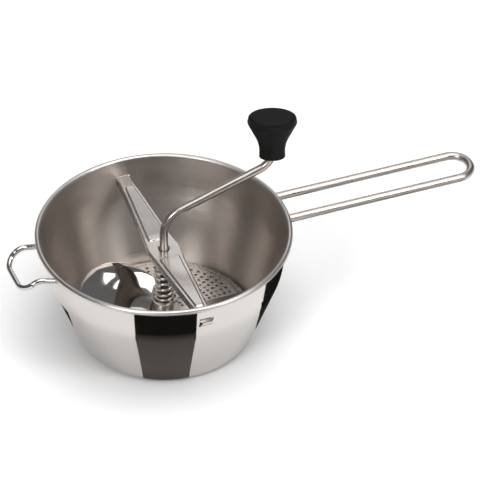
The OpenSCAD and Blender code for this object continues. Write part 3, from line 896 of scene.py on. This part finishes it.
def blade_shape():
    """The pressing blade: for azimuth a and radius r, height = base + k (inner + (lift - inner) sin(90 q)),
    with k the share of the way from the low edge to the raised one and q the share of the way out; the
    outline draws in towards the raised edge. That edge is bowed forwards by bow * sin(180 q) / r and curls
    down over its last degrees by curl * t^2 * sin(90 q). The section is rounded at the rim."""
    t, lift = sizes().blade_sheet / MM, sizes().blade_lift / MM
    start, stop, r0, out = BLADE_START, BLADE_STOP, BLADE_IN, BLADE_OUT
    base = HUB_BOX[0, 2]
    a = np.concatenate([np.linspace(start, start + 2, 4), np.linspace(start + 2, stop, 200)[1:]])[:, None]
    reach = out - DRAW_IN * (1 - np.minimum((a - start) / DRAW_RUN, 1)) ** 2.4
    k = (stop - a) / (stop - start)
    u = np.linspace(0, 1, 34)[None] ** 0.9
    r = r0 + (reach - r0 - t / 2) * u
    near = np.clip((start + CURL_RUN - a) / CURL_RUN, 0, 1)

    def height(rr):
        """Height of the blade's underside at radius rr on every azimuth."""
        q = np.clip((rr - HUB_RADIUS) / (out - HUB_RADIUS), 0, 1)
        outward = np.sin(np.pi / 2 * q)
        return base + k * (INNER_LIFT + (lift - INNER_LIFT) * outward) - BLADE_CURL * near**2 * outward

    turn = np.radians(np.linspace(80, -80, 7))[None]
    rim_r = reach - t / 2 + t / 2 * np.cos(turn)
    rim_z = height(reach) + t / 2 + t / 2 * np.sin(turn)
    rr = np.concatenate([r, rim_r, r[:, ::-1]], 1)
    zz = np.concatenate([height(r) + t, rim_z, height(r[:, ::-1])], 1)
    q = np.clip((rr - r0) / (reach - r0), 0, 1)
    ang = np.radians(a) - BLADE_BOW * smooth(near) * np.sin(np.pi * q) / rr
    grid = np.stack([rr * np.cos(ang), rr * np.sin(ang), zz], -1)
    n = r.shape[1]
    body = patch(grid, False, True)
    caps = []
    for row in (0, grid.shape[0] - 1):
        over, under = grid[row, :n + 3], grid[row, :n + 3:-1]
        tip = grid[row, n + 3][None]
        caps.append(patch(np.stack([np.concatenate([over, tip]), np.concatenate([under, tip])])))
    return [body, *caps]


class MILL_OT_blade(bpy.types.Operator):
    """Make the pressing blade and its hub"""

    bl_idname = "mill.blade"
    bl_label = "Pressing blade"

    def execute(self, context):
        put("blade_sheet", blade_shape(), [finish("polished")],
            ["pressing_blade"], "crank", 50)
        h, bore = HUB_BOX, sizes().crank_rod / MM / 2 + 0.02
        bush = lathe(ring_profile(bore, h[1, 0], h[0, 2], h[1, 2], 0.6), 64)
        put("hub_bush", [bush], [finish("turned")], ["blade_hub"], "crank")
        return {"FINISHED"}


# The sieve's sheet, the drop to its ledge, the width of its rim, where the rim's patch ends inside the
# field, the way from the field's edge to the first ring of holes, cells round it and rings of cells.
SIEVE_SHEET, LEDGE_DROP, RIM_WIDTH, RIM_LAP, FIRST_RING = 0.8, 3.4, 7.0, 2.75, 5.0
CELLS, RINGS = 60, 10


def sieve_shape():
    """The sieve: a turned rim (field edge, shoulder, ledge and skirt), and inside it a field of cells.
    Cell k, i has its sides at radius r_k +- step/2 and azimuth i +- half a pitch; its outline point j is
    (cos j, sin j) / max(|cos j|, |sin j|) in those sides, joined to the circle of its hole. A flat ring
    joins the field to the rim, and another to the shaft's bore."""
    s = sizes()
    t, step, hole = SIEVE_SHEET, s.ring_step / MM, s.hole / MM / 2
    top, rim, seat = SIEVE_BOX[1, 2], SIEVE_BOX[1, 0], SIEVE_BOX[0, 2]
    ledge, field = top - LEDGE_DROP, rim - RIM_WIDTH
    corners = [[field - RIM_LAP, top], [field, top], [rim - 3.5, ledge], [rim, ledge], [rim, seat]]
    line = rounded(corners, [3, 1.5, 1.3], 7)
    cells, rings = CELLS, RINGS
    pitch = 2 * math.pi / cells
    eighth = math.tan(math.pi / 8)
    u = (pitch * (np.arange(cells)[:, None] + 0.5 * np.array([-1, -eighth, 0, eighth]))).ravel()
    section = np.concatenate([line, offset(line, t)[::-1]])
    keep = np.tile(np.arange(len(section)) != len(section) - 1, len(u))
    rim_patch = patch(turned(section, u), True, True, keep=keep)

    k = np.arange(rings)[:, None, None]
    i = np.arange(cells)[None, :, None]
    j = turns(16)[None, None]
    big = np.maximum(np.abs(np.cos(j)), np.abs(np.sin(j)))
    r_k = field - FIRST_RING - step * k
    skip = np.where(2 * math.pi * r_k / cells < 2 * hole + 0.8, 2, 1)
    open_ = (i % skip == 0)
    edge_r = r_k + step / 2 * np.cos(j) / big
    edge_a = pitch * (i + 0.5 * np.sin(j) / big)
    rad = np.where(open_, hole, 0.0)
    turn = pitch * i
    cx, cy = r_k * np.cos(turn), r_k * np.sin(turn)
    hx = cx + rad * (np.cos(j) * np.cos(turn) - np.sin(j) * np.sin(turn))
    hy = cy + rad * (np.cos(j) * np.sin(turn) + np.sin(j) * np.cos(turn))
    ex, ey = edge_r * np.cos(edge_a), edge_r * np.sin(edge_a)
    shape = np.broadcast_shapes(ex.shape, hx.shape)
    layers = [(ex, ey, top), (hx, hy, top), (hx, hy, top - t), (ex, ey, top - t)]
    pts = np.stack([
        np.stack([np.broadcast_to(x, shape), np.broadcast_to(y, shape), np.full(shape, z)], -1)
        for x, y, z in layers])
    order = np.arange(pts[..., 0].size).reshape(pts.shape[:-1])
    nxt = np.roll(order, -1, -1)

    def strip(p, q, mask=True):
        """Faces between two layers, in the cells that mask keeps."""
        faces = np.stack([order[p], nxt[p], nxt[q], order[q]], -1)
        return faces[np.broadcast_to(mask, shape)].reshape(-1, 4)

    groups = [strip(0, 1), strip(1, 2, open_), strip(2, 3)]
    flat = pts.reshape(-1, 3)
    field_patch = (flat, groups, [np.zeros(len(g), int) for g in groups], flat)

    outer_r = field - FIRST_RING + step / 2
    inner_r = field - FIRST_RING - step * (rings - 1) - step / 2
    bore = s.crank_rod / MM / 2 + 0.07
    lap = [[field - RIM_LAP, top], [outer_r, top], [outer_r, top - t], [field - RIM_LAP, top - t]]
    core = [[inner_r, top], [bore + 5, top], [bore + 1.6, top], [bore, top], [bore, top - t],
            [inner_r, top - t]]
    extra = []
    for ring, drop in ((lap, (1, 3)), (core, (5,))):
        kept = np.tile(~np.isin(np.arange(len(ring)), drop), len(u))
        extra.append(patch(turned(np.array(ring), u), True, True, keep=kept))
    return [rim_patch, field_patch, *extra]


class MILL_OT_sieve(bpy.types.Operator):
    """Make the sieve disc with its rings of holes"""

    bl_idname = "mill.sieve"
    bl_label = "Sieve disc"

    def execute(self, context):
        put("sieve_pan", sieve_shape(), [finish("sieve")],
            ["sieve_disc"], "bowl_assembly", 40)
        return {"FINISHED"}


# ---------------------------------------------------------------- knob


# How far the knob stands turned about its stem, and its depth as a share of its width.
KNOB_TURN, KNOB_OVAL = math.radians(-21), 0.62


def knob_line():
    """Half widths (w, z) of the knob's outline from its base to the middle of its top."""
    h = KNOB_BOX[1, 2] - KNOB_BOX[0, 2]
    half = (KNOB_BOX[1, 0] - KNOB_BOX[0, 0]) / 2
    p = np.array([[0, 0], [10.2, 0], [9.7, h * 0.3], [half - 0.4, h * 0.83], [half - 1.5, h - 0.8], [0, h]])
    line = rounded(p, [0.7, 34, 4.5, 2.5], 14)
    return line + [0, KNOB_BOX[0, 2]]


class MILL_OT_knob(bpy.types.Operator):
    """Make the oval knob and its cap"""

    bl_idname = "mill.knob"
    bl_label = "Knob"

    def execute(self, context):
        line = knob_line()
        cx = (KNOB_BOX[0, 0] + KNOB_BOX[1, 0]) / 2
        split = float(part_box("knob_cap")[0][2]) / MM
        seam = sizes().knob_seam / MM
        k = int(np.argmax(line[:, 1] > split))
        a, b = line[k - 1], line[k]
        at = a + (b - a) * (split - a[1]) / (b[1] - a[1])
        lower, upper = line[1:k], line[k:-1]

        def form(rows):
            """Rows (half width a, half depth b, z) turned: the oval (a cos u, b sin u) stands turned by
            KNOB_TURN about the stem, because the knob spins freely."""
            rows = np.asarray(rows, float)[:, None]
            u = turns(96)[None]
            x, y = rows[..., 0] * np.cos(u), rows[..., 1] * np.sin(u)
            c, s = math.cos(KNOB_TURN), math.sin(KNOB_TURN)
            grid = np.stack([cx + x * c - y * s, x * s + y * c, rows[..., 2] + 0 * u], -1)
            return patch(grid, False, True, (True, True))

        def ovals(p):
            """Outline points (half width w, z) as rows of the knob's oval."""
            return [[w, w * KNOB_OVAL, z] for w, z in p]

        z0 = KNOB_BOX[0, 2]
        hollow = [[4.6, 4.6, z0 + 12], [4.6, 4.6, z0 + 0.5], [5.0, 5.0, z0 + 0.02]]
        grip = [*lower, [at[0], split - 0.12], [at[0] - seam, split - 0.02]]
        put("knob_grip", [form(hollow + ovals(grip))], [finish("plastic")],
            ["knob_body"], "knob", 45)
        cap = [[at[0] - seam, split], [at[0], split + 0.12], *upper]
        put("knob_top", [form(ovals(cap))], [finish("plastic")], ["knob_cap"], "knob", 45)
        return {"FINISHED"}


class MILL_OT_trim(bpy.types.Operator):
    """Finish the small pieces whose CAD shape stays, the drive pin and the push nut"""

    bl_idname = "mill.trim"
    bl_label = "Pin and push nut"

    def execute(self, context):
        for name in ("drive_pin", "push_nut"):
            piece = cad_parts[name]
            for slot in piece.material_slots:
                slot.material = finish("cad")
        return {"FINISHED"}


# ---------------------------------------------------------------- stage


# The camera's direction and distance from the mill, and the point that it faces: VIEW_HEIGHT up the axis,
# then VIEW_RIGHT to its right and VIEW_DROP down in its view.
VIEW_AZIMUTH, VIEW_ELEVATION, VIEW_DISTANCE = math.radians(-21), math.radians(38.7), 4.0
VIEW_HEIGHT, VIEW_RIGHT, VIEW_DROP, LENS = 0.092, 0.0667, 0.0129, 372.5
# Where the bowl's polished outside shows dark: a stripe in front between two azimuths, and the front edges
# of a sliver at the right and one at the left. Azimuths are in degrees and heights in millimetres.
STRIPE, STRIPE_HEIGHTS = (-124, -95), (8, 34, 60, 64, 84)
RIGHT_EDGE, RIGHT_HEIGHTS = (-46, -53, -56, -55), (24, 47, 63, 90)
LEFT_EDGE, LEFT_HEIGHTS = (-171, -168, -165), (31, 41, 59)
CARD_HEIGHT = 0.0006


def view():
    """The camera's place in metres and its right, up and back axes."""
    level = math.cos(VIEW_ELEVATION)
    back = Vector((math.sin(VIEW_AZIMUTH) * level, -math.cos(VIEW_AZIMUTH) * level, math.sin(VIEW_ELEVATION)))
    right = Vector((math.cos(VIEW_AZIMUTH), math.sin(VIEW_AZIMUTH), 0))
    up = back.cross(right)
    place = Vector((0, 0, VIEW_HEIGHT)) + right * VIEW_RIGHT - up * VIEW_DROP + back * VIEW_DISTANCE
    return place, right, up, back


def mirrored(azimuths, heights):
    """The floor points, in millimetres, that the camera sees mirrored in the bowl's outside at these
    azimuths and heights. With p the wall's point, n its outward normal and d the line of sight to it, the
    mirrored line is m = d - 2 (d . n) n, and it meets the floor at p - m p_z / m_z."""
    z, a = np.broadcast_arrays(np.array(heights, float), np.radians(azimuths))
    lean = np.where(z > sizes().break_height / MM, UPPER_LEAN, LOWER_LEAN)
    r = wall_out(z)
    p = np.stack([r * np.cos(a), r * np.sin(a), z], -1)
    n = np.stack([np.cos(lean) * np.cos(a), np.cos(lean) * np.sin(a), -np.sin(lean)], -1)
    d = unit(p - np.array(view()[0]) / MM)
    m = d - 2 * np.sum(d * n, -1, keepdims=True) * n
    return (p - m * p[:, 2:] / m[:, 2:])[:, :2].tolist()


def card(name, outline, near, far, start, stop):
    """A flat dark studio card just above the floor with an outline in millimetres, seen only in
    reflections. Its tone goes from near to far between two distances from the axis, in metres."""
    mesh = bpy.data.meshes.new(name)
    corners = [(x * MM, y * MM, CARD_HEIGHT) for x, y in outline]
    mesh.from_pydata(corners, [], [tuple(range(len(corners)))])
    m, tree, shader = nodes_of(name)
    tint = np.array([1, 0.93, 0.86])
    away = ranged(tree, distance_out(tree), 0.0, 1.0, start, stop)
    tree.links.new(blended(tree, away, near * tint, far * tint), shader.inputs["Base Color"])
    shader.inputs["Roughness"].default_value = 1.0
    shader.inputs["Specular IOR Level"].default_value = 0.0
    mesh.materials.append(m)
    obj = bpy.data.objects.new(name, mesh)
    bpy.context.scene.collection.objects.link(obj)
    obj.visible_camera = False
    obj.visible_shadow = False
    obj.visible_diffuse = False


def soft_light(name, place, wide, high, radiance):
    """A rectangular soft box at place that faces the bowl; its power is radiance * pi * wide * high."""
    data = bpy.data.lights.new(name, "AREA")
    data.shape, data.size, data.size_y = "RECTANGLE", wide, high
    data.energy = radiance * math.pi * wide * high
    light = bpy.data.objects.new(name, data)
    bpy.context.scene.collection.objects.link(light)
    light.location = place
    light.rotation_euler = (Vector((0, 0, 0.06)) - Vector(place)).to_track_quat("-Z", "Y").to_euler()


def make_camera(scene):
    """The camera."""
    place, right, up, back = view()
    data = bpy.data.cameras.new("camera")
    data.sensor_width, data.lens, data.clip_end = 36.0, LENS, 50.0
    camera = bpy.data.objects.new("camera", data)
    scene.collection.objects.link(camera)
    turn = Matrix((right, up, back)).transposed()
    camera.matrix_world = Matrix.Translation(place) @ turn.to_4x4()
    scene.camera = camera


def make_world(scene):
    """The studio's walls: a grey that changes with height, darkest below and brightest overhead."""
    world = bpy.data.worlds.new("studio")
    scene.world = world
    world.use_nodes = True
    tree = world.node_tree
    split = tree.nodes.new("ShaderNodeSeparateXYZ")
    tree.links.new(tree.nodes.new("ShaderNodeTexCoord").outputs["Generated"], split.inputs["Vector"])
    ramp = tree.nodes.new("ShaderNodeValToRGB")
    stops = ((0.0, 0.06), (0.3, 0.11), (0.62, 0.2), (0.8, 0.15), (1.0, 0.4))
    ramp.color_ramp.elements.remove(ramp.color_ramp.elements[1])
    for at, tone in stops:
        stop = ramp.color_ramp.elements[0] if at == 0.0 else ramp.color_ramp.elements.new(at)
        stop.color = (tone * 0.98, tone * 0.985, tone * 1.02, 1)
    tree.links.new(split.outputs["Z"], ramp.inputs["Fac"])
    tree.links.new(ramp.outputs["Color"], tree.nodes["Background"].inputs["Color"])
    tree.nodes["Background"].inputs["Strength"].default_value = 1.0


def make_floor(scene):
    """The pale floor, which glows faintly away from the bowl to keep its shadow soft."""
    floor = bpy.data.meshes.new("floor")
    floor.from_pydata([(-6, -6, 0), (6, -6, 0), (6, 6, 0), (-6, 6, 0)], [], [(0, 1, 2, 3)])
    m, tree, shader = nodes_of("pale_floor")
    tone = noise_on(tree, own_place(tree), (3, 3, 3))
    pale = tuple(colours().floor)
    tree.links.new(blended(tree, tone, [v * 0.99 for v in pale], pale), shader.inputs["Base Color"])
    shader.inputs["Roughness"].default_value = 0.9
    shader.inputs["Emission Color"].default_value = (1.0, 0.99, 0.975, 1)
    glow = ranged(tree, distance_out(tree), 0.0, 0.22, 0.062, 0.13)
    tree.links.new(glow, shader.inputs["Emission Strength"])
    floor.materials.append(m)
    ground = bpy.data.objects.new("floor", floor)
    scene.collection.objects.link(ground)


def make_cards():
    """The dark cards. The edges of the stripe and the front edges of the slivers are mirrored to the floor,
    and the rest of each outline is listed."""
    left, right = (mirrored(azimuth, STRIPE_HEIGHTS) for azimuth in STRIPE)
    cards = {
        "front_card": (
            [(-6, -60), (-30, -50), *left, (-125, -135), (-60, -230), (22, -215), *right[::-1]],
            0.17, 0.010, 0.078, 0.135),
        "right_card": (
            [(50, -18), (60, -28), *mirrored(RIGHT_EDGE, RIGHT_HEIGHTS), (155, -56), (165, 42), (132, 42),
             (95, 20), (74, 0)],
            0.05, 0.012, 0.070, 0.108),
        "left_card": (
            [(-74, 8), *mirrored(LEFT_EDGE, LEFT_HEIGHTS), (-92, 44), (-86, 40), (-80, 24)],
            0.04, 0.012, 0.074, 0.1),
        "handle_card": (
            [(158, -52), (165, -260), (340, -260), (340, -35), (172, -20)],
            0.03, 0.45, 0.15, 0.32),
    }
    for name, (outline, *tones) in cards.items():
        card(name, outline, *tones)


class MILL_OT_stage(bpy.types.Operator):
    """Make the floor, the soft studio light and the camera"""

    bl_idname = "mill.stage"
    bl_label = "Stage and camera"

    def execute(self, context):
        scene = context.scene
        make_camera(scene)
        make_world(scene)
        make_floor(scene)
        make_cards()
        soft_light("overhead", (0.25, -0.3, 2.3), 2.0, 2.0, 2.6)
        soft_light("back", (0.65, 1.9, 1.36), 1.7, 0.85, 1.0)
        soft_light("front_left", (-1.62, -1.22, 1.6), 0.85, 1.1, 7.5)
        soft_light("front_right", (1.20, -1.64, 1.6), 0.65, 1.1, 7.0)
        soft_light("back_spot", (0.555, 1.143, 1.84), 0.22, 0.2, 3.0)
        soft_light("top_spot", (0.78, 0.887, 1.895), 0.25, 0.38, 3.0)
        scene.view_settings.view_transform = "Standard"
        return {"FINISHED"}


class MILL_PT_panel(bpy.types.Panel):
    """Lists the mill's sizes, colours and steps"""

    bl_idname = "MILL_PT_panel"
    bl_label = "Food Mill"
    bl_space_type = "VIEW_3D"
    bl_region_type = "UI"
    bl_category = "Food Mill"

    def draw(self, context):
        for group in (context.scene.mill_sizes, context.scene.mill_colours):
            box = self.layout.box()
            for key in group.bl_rna.properties.keys():
                if key not in ("rna_type", "name"):
                    box.prop(group, key)
        for step in STEPS:
            self.layout.operator(step.bl_idname)


STEPS = (
    MILL_OT_bowl,
    MILL_OT_long_handle,
    MILL_OT_helper_handle,
    MILL_OT_crossbar,
    MILL_OT_spring,
    MILL_OT_crank,
    MILL_OT_blade,
    MILL_OT_sieve,
    MILL_OT_knob,
    MILL_OT_trim,
    MILL_OT_stage,
)
CLASSES = (MillSizes, MillColours, *STEPS, MILL_PT_panel)


def register():
    for c in CLASSES:
        bpy.utils.register_class(c)
    bpy.types.Scene.mill_sizes = bpy.props.PointerProperty(type=MillSizes)
    bpy.types.Scene.mill_colours = bpy.props.PointerProperty(type=MillColours)


def unregister():
    del bpy.types.Scene.mill_sizes
    del bpy.types.Scene.mill_colours
    for c in reversed(CLASSES):
        bpy.utils.unregister_class(c)


def main():
    """Registers the add-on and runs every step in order."""
    register()
    for step in STEPS:
        group, name = step.bl_idname.split(".")
        getattr(getattr(bpy.ops, group), name)()


if __name__ == "__main__":
    main()
